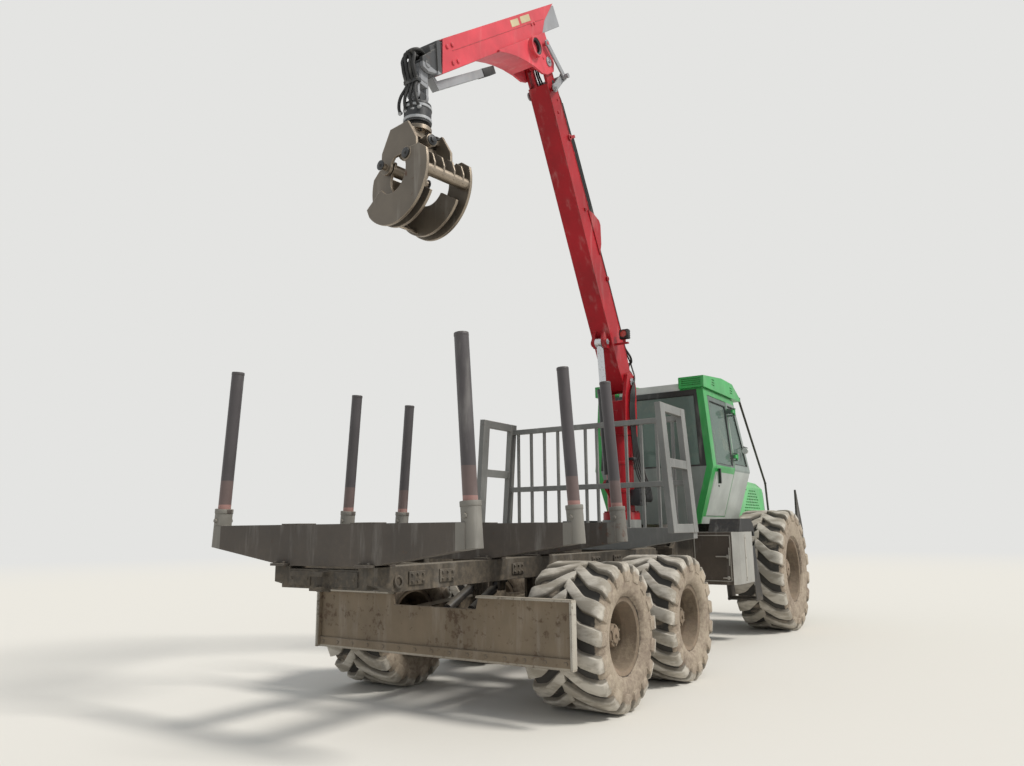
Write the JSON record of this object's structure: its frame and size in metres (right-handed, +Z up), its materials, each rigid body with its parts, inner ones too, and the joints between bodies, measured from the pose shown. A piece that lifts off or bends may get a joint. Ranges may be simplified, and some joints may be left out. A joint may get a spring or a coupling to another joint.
{
  "type": "forestry forwarder",
  "caption": "Articulated forestry forwarder with a front cab, bogie rear axle, timber bunk with stakes, rear blade and a knuckle-boom crane holding a log grapple.",
  "frame": {"origin": "on the ground under the middle of the machine's length and width", "axes": "+X forward to the engine hood, +Y to the machine's left, +Z up"},
  "size_m": [9.645, 2.9, 7.7131],
  "materials": {
    "frame_paint": "matte",
    "bunk_paint": "matte",
    "stake_paint": "satin",
    "gate_paint": "satin",
    "axle_iron": "matte",
    "base_paint": "satin",
    "blade_paint": "matte",
    "cylinder_paint": "satin",
    "rod_chrome": "polished",
    "engine_iron": "matte",
    "box_paint": "matte",
    "black_plastic": "matte",
    "cab_green": "satin",
    "roof_green": "satin",
    "window_glass": "clear",
    "seat_fabric": "matte",
    "hood_green": "satin",
    "door_grey": "satin",
    "tyre_rubber": "matte",
    "rim_paint": "matte",
    "crane_red": "satin",
    "jib_red": "satin",
    "link_grey": "satin",
    "rotator_grey": "satin",
    "grapple_steel": "worn"
  },
  "bodies": {
    "rear": {"rear_frame": "frame_paint", "bolsters": "bunk_paint", "stakes": "stake_paint", "headboard": "gate_paint", "bogie_beam_left": "axle_iron", "bogie_beam_right": "axle_iron", "bogie_axle": "axle_iron", "crane_base": "base_paint"},
    "blade": {"blade": "blade_paint"},
    "blade_tubes": {"blade_tubes": "cylinder_paint"},
    "blade_rods": {"blade_rods": "rod_chrome"},
    "front": {"front_frame": "frame_paint", "front_axle": "axle_iron", "engine": "engine_iron", "side_boxes": "box_paint", "mudguards": "black_plastic", "front_guard": "frame_paint", "cab_shell": "cab_green", "cab_roof": "roof_green", "cab_glass": "window_glass", "seat": "seat_fabric", "cab_controls": "black_plastic"},
    "hood": {"engine_hood": "hood_green"},
    "door_left": {"door_left": "door_grey", "door_glass_left": "window_glass"},
    "door_right": {"door_right": "door_grey", "door_glass_right": "window_glass"},
    "steer_tube_left": {"steer_tube_left": "cylinder_paint"},
    "steer_tube_right": {"steer_tube_right": "cylinder_paint"},
    "steer_rod_left": {"steer_rod_left": "rod_chrome"},
    "steer_rod_right": {"steer_rod_right": "rod_chrome"},
    "wheel_front_left": {"tyre_front_left": "tyre_rubber", "rim_front_left": "rim_paint"},
    "wheel_front_right": {"tyre_front_right": "tyre_rubber", "rim_front_right": "rim_paint"},
    "wheel_mid_left": {"tyre_mid_left": "tyre_rubber", "rim_mid_left": "rim_paint"},
    "wheel_mid_right": {"tyre_mid_right": "tyre_rubber", "rim_mid_right": "rim_paint"},
    "wheel_rear_left": {"tyre_rear_left": "tyre_rubber", "rim_rear_left": "rim_paint"},
    "wheel_rear_right": {"tyre_rear_right": "tyre_rubber", "rim_rear_right": "rim_paint"},
    "crane_column": {"crane_column": "crane_red"},
    "lift_tube": {"lift_tube": "cylinder_paint"},
    "lift_rod": {"lift_rod": "rod_chrome"},
    "main_boom": {"main_boom": "crane_red"},
    "jib_tube": {"jib_tube": "cylinder_paint"},
    "jib_rod": {"jib_rod": "rod_chrome"},
    "rocker": {"rocker": "link_grey"},
    "elbow_link": {"elbow_link": "link_grey"},
    "outer_boom": {"outer_boom": "jib_red"},
    "extension": {"extension": "link_grey"},
    "hanger": {"hanger": "link_grey"},
    "rotator": {"rotator": "rotator_grey"},
    "grapple_frame": {"grapple_frame": "grapple_steel"},
    "claw_wide": {"claw_wide": "grapple_steel"},
    "claw_narrow": {"claw_narrow": "grapple_steel"}
  },
  "joints": [
    {"name": "articulation", "type": "hinge", "parent": "rear", "child": "front", "pos_m": [0.82, 0, 1.02], "axis": [0, 0, 1], "range_deg": [-40, 40]},
    {"name": "steer_tube_left_swing", "type": "hinge", "parent": "rear", "child": "steer_tube_left", "pos_m": [0.3, 0.255, 1.02], "axis": [0, 0, 1], "range_deg": [-9, 9]},
    {"name": "steer_rod_left_slide", "type": "slide", "parent": "steer_tube_left", "child": "steer_rod_left", "axis": [1, -0.0074, 0], "range_m": [-0.175, 0.175]},
    {"name": "steer_tube_right_swing", "type": "hinge", "parent": "rear", "child": "steer_tube_right", "pos_m": [0.3, -0.255, 1.02], "axis": [0, 0, 1], "range_deg": [-9, 9]},
    {"name": "steer_rod_right_slide", "type": "slide", "parent": "steer_tube_right", "child": "steer_rod_right", "axis": [1, 0.0074, 0], "range_m": [-0.175, 0.175]},
    {"name": "wheel_front_left_spin", "type": "hinge", "parent": "front", "child": "wheel_front_left", "pos_m": [3.01, 1.1, 0.84], "axis": [0, 1, 0], "continuous": true},
    {"name": "wheel_front_right_spin", "type": "hinge", "parent": "front", "child": "wheel_front_right", "pos_m": [3.01, -1.1, 0.84], "axis": [0, 1, 0], "continuous": true},
    {"name": "wheel_mid_left_spin", "type": "hinge", "parent": "rear", "child": "wheel_mid_left", "pos_m": [-1.28, 1.1, 0.59], "axis": [0, 1, 0], "continuous": true},
    {"name": "wheel_mid_right_spin", "type": "hinge", "parent": "rear", "child": "wheel_mid_right", "pos_m": [-1.28, -1.1, 0.59], "axis": [0, 1, 0], "continuous": true},
    {"name": "wheel_rear_left_spin", "type": "hinge", "parent": "rear", "child": "wheel_rear_left", "pos_m": [-2.78, 1.1, 0.59], "axis": [0, 1, 0], "continuous": true},
    {"name": "wheel_rear_right_spin", "type": "hinge", "parent": "rear", "child": "wheel_rear_right", "pos_m": [-2.78, -1.1, 0.59], "axis": [0, 1, 0], "continuous": true},
    {"name": "blade_lift", "type": "hinge", "parent": "rear", "child": "blade", "pos_m": [-2.39, 0, 0.56], "axis": [0, -1, 0], "range_deg": [0, 21]},
    {"name": "blade_tubes_swing", "type": "hinge", "parent": "rear", "child": "blade_tubes", "pos_m": [-2.73, 0, 0.95], "axis": [0, -1, 0], "range_deg": [0, 24]},
    {"name": "blade_rods_slide", "type": "slide", "parent": "blade_tubes", "child": "blade_rods", "axis": [-0.9138, 0, -0.4061], "range_m": [0, 0.2]},
    {"name": "hood_tilt", "type": "hinge", "parent": "front", "child": "hood", "pos_m": [4.66, 0, 1.53], "axis": [0, 1, 0], "range_deg": [0, 50]},
    {"name": "door_left_hinge", "type": "hinge", "parent": "front", "child": "door_left", "pos_m": [2.304, 0.902, 2.5], "axis": [0, 0, -1], "range_deg": [0, 65]},
    {"name": "door_right_hinge", "type": "hinge", "parent": "front", "child": "door_right", "pos_m": [2.304, -0.902, 2.5], "axis": [0, 0, 1], "range_deg": [0, 65]},
    {"name": "crane_slew", "type": "hinge", "parent": "rear", "child": "crane_column", "pos_m": [0.27, 0, 1.545], "axis": [0, 0, 1], "range_deg": [-270, 110]},
    {"name": "boom_lift", "type": "hinge", "parent": "crane_column", "child": "main_boom", "pos_m": [0.34, 0, 3.3], "axis": [0, 1, 0], "range_deg": [-30.6, 14.4]},
    {"name": "lift_tube_swing", "type": "hinge", "parent": "crane_column", "child": "lift_tube", "pos_m": [-0.02, 0, 1.98], "axis": [0, 1, 0], "range_deg": [-8, 4]},
    {"name": "lift_rod_slide", "type": "slide", "parent": "lift_tube", "child": "lift_rod", "axis": [-0.0998, 0, 0.995], "range_m": [-0.29, 0.14]},
    {"name": "elbow", "type": "hinge", "parent": "main_boom", "child": "outer_boom", "pos_m": [-1.6383, 0, 6.811], "axis": [0, 1, 0], "range_deg": [-45, 84]},
    {"name": "rocker_swing", "type": "hinge", "parent": "main_boom", "child": "rocker", "pos_m": [-1.5259, 0, 6.53], "axis": [0, 1, 0], "range_deg": [-19, 36]},
    {"name": "link_swing", "type": "hinge", "parent": "outer_boom", "child": "elbow_link", "pos_m": [-1.7341, 0, 6.9809], "axis": [0, 1, 0], "range_deg": [-53, 29]},
    {"name": "jib_tube_swing", "type": "hinge", "parent": "main_boom", "child": "jib_tube", "pos_m": [-0.1338, 0, 4.64], "axis": [0, 1, 0], "range_deg": [-1, 1.5]},
    {"name": "jib_rod_slide", "type": "slide", "parent": "jib_tube", "child": "jib_rod", "axis": [-0.4927, 0, 0.8702], "range_m": [-0.2, 0.11]},
    {"name": "extension_slide", "type": "slide", "parent": "outer_boom", "child": "extension", "axis": [-0.7804, 0, -0.6252], "range_m": [0, 1.5]},
    {"name": "hanger_swing", "type": "hinge", "parent": "extension", "child": "hanger", "pos_m": [-3.795, 0, 5.62], "axis": [0, -1, 0], "range_deg": [-75, 40]},
    {"name": "rotator_swing", "type": "hinge", "parent": "hanger", "child": "rotator", "pos_m": [-3.795, 0, 5.33], "axis": [1, 0, 0], "range_deg": [-30, 30]},
    {"name": "grapple_turn", "type": "hinge", "parent": "rotator", "child": "grapple_frame", "pos_m": [-3.795, 0, 5], "axis": [0, 0, 1], "continuous": true},
    {"name": "claw_wide_swing", "type": "hinge", "parent": "grapple_frame", "child": "claw_wide", "pos_m": [-3.8245, -0.1674, 4.62], "axis": [-0.9848, 0.1736, 0], "range_deg": [0, 60]},
    {"name": "claw_narrow_swing", "type": "hinge", "parent": "grapple_frame", "child": "claw_narrow", "pos_m": [-3.7655, 0.1674, 4.62], "axis": [0.9848, -0.1736, 0], "range_deg": [0, 60]}
  ],
  "couplings": [
    {"joint": "steer_tube_left_swing", "follows": "articulation", "ratio": 0.205},
    {"joint": "steer_rod_left_slide", "follows": "articulation", "m_per_rad": -0.241},
    {"joint": "steer_tube_right_swing", "follows": "articulation", "ratio": 0.205},
    {"joint": "steer_rod_right_slide", "follows": "articulation", "m_per_rad": 0.241},
    {"joint": "blade_tubes_swing", "follows": "blade_lift", "ratio": 1.08},
    {"joint": "blade_rods_slide", "follows": "blade_lift", "m_per_rad": 0.507},
    {"joint": "lift_tube_swing", "follows": "boom_lift", "ratio": 0.25},
    {"joint": "lift_rod_slide", "follows": "boom_lift", "m_per_rad": 0.53},
    {"joint": "rocker_swing", "follows": "elbow", "ratio": 0.42},
    {"joint": "link_swing", "follows": "elbow", "ratio": -0.62},
    {"joint": "jib_tube_swing", "follows": "elbow", "ratio": 0.012},
    {"joint": "jib_rod_slide", "follows": "elbow", "m_per_rad": -0.13},
    {"joint": "claw_narrow_swing", "follows": "claw_wide_swing", "ratio": 1}
  ]
}
